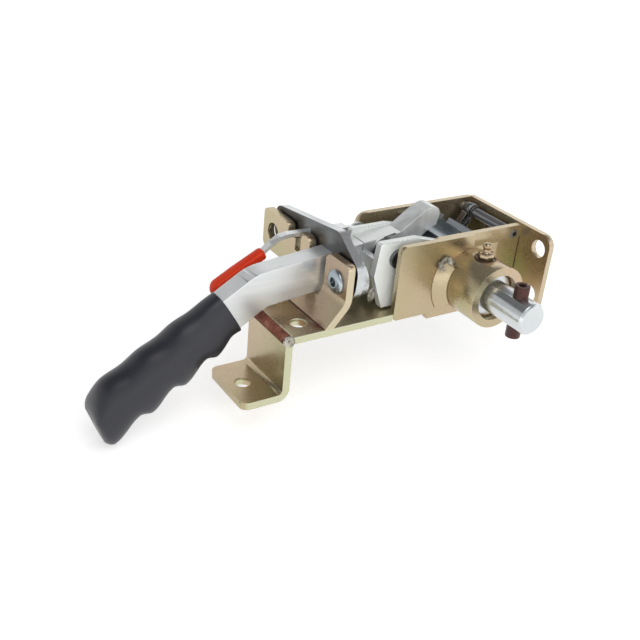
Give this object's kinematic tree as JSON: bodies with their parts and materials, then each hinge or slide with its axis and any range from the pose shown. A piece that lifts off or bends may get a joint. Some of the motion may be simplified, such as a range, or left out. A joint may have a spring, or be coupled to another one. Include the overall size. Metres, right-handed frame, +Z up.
{
  "type": "curtain tensioner",
  "caption": "Ratchet tensioner for a vehicle side curtain: lever handle with rubber grip, release lever, pawl and toothed wheel in a plate housing, drive shaft with cross pin and bolt flange.",
  "frame": {"origin": "middle of the two bolt holes on the outer face of the end plate", "axes": "+X out of the end plate, away from the handle; +Y from the drive shaft's free end into the housing; +Z up"},
  "size_m": [0.2975, 0.166, 0.1231],
  "materials": {
    "yellow_zinc": "yellow chromate zinc plate, satin, faintly iridescent",
    "white_zinc": "bright zinc plate with rolling and grinding marks",
    "dark_steel": "dark oiled steel, polished on its faces",
    "blue_steel": "hardened steel, blue grey",
    "grip_rubber": "soft moulded rubber, fine grain",
    "sleeve_plastic": "dip-moulded soft plastic, satin",
    "weld": "rough weld metal, brown heat tint",
    "spring_pin": "hardened spring steel, brown",
    "bronze": "sintered bronze, dull"
  },
  "bodies": {
    "frame": {"base_plate": "yellow_zinc", "foot_bracket": "yellow_zinc", "foot_weld": "weld", "fork_bracket": "yellow_zinc", "fork_screw": "white_zinc", "near_side_plate": "yellow_zinc", "near_inner_plate": "yellow_zinc", "far_side_plate": "yellow_zinc", "end_plate": "yellow_zinc", "bearing_boss": "yellow_zinc", "boss_weld": "yellow_zinc", "near_bush": "bronze", "far_bush": "bronze", "grease_nipple": "yellow_zinc", "cross_rod": "dark_steel", "rod_collar": "dark_steel", "holding_spring": "dark_steel", "near_washer": "bronze", "far_washer": "bronze"},
    "shaft": {"drive_shaft": "white_zinc", "cross_pin": "spring_pin", "drive_wheel": "blue_steel", "holding_wheel": "blue_steel", "wheel_key": "dark_steel", "retaining_ring": "dark_steel"},
    "handle": {"handle_bar": "white_zinc", "near_cheek": "white_zinc", "far_cheek": "white_zinc", "cheek_block": "white_zinc", "keeper_plate": "dark_steel", "handle_grip": "grip_rubber", "drive_spring": "dark_steel"},
    "release": {"pawl_pin": "dark_steel", "pawl_spacer": "white_zinc", "drive_pawl": "white_zinc", "release_lever": "white_zinc", "lever_sleeve": "sleeve_plastic"},
    "holding": {"holding_pawl": "blue_steel"}
  },
  "joints": [
    {"name": "handle_swing", "type": "hinge", "parent": "frame", "child": "handle", "pos_m": [-0.05, 0.0445, -0.003], "axis": [0, 1, 0], "range_deg": [0, 60]},
    {"name": "shaft_spin", "type": "hinge", "parent": "frame", "child": "shaft", "pos_m": [-0.05, 0.0145, -0.003], "axis": [0, 1, 0], "continuous": true},
    {"name": "release_press", "type": "hinge", "parent": "handle", "child": "release", "pos_m": [-0.103, 0.049, 0.0165], "axis": [0, 1, 0], "range_deg": [-5, 0], "stiffness_Nm_per_rad": 0.6, "springref_deg": 20.05, "deforming": ["drive_spring"]},
    {"name": "holding_lift", "type": "hinge", "parent": "frame", "child": "holding", "pos_m": [-0.0096, 0.0641, 0.0206], "axis": [0, 1, 0], "range_deg": [-20, 0], "stiffness_Nm_per_rad": 0.05, "springref_deg": 20.05, "deforming": ["holding_spring"]}
  ]
}
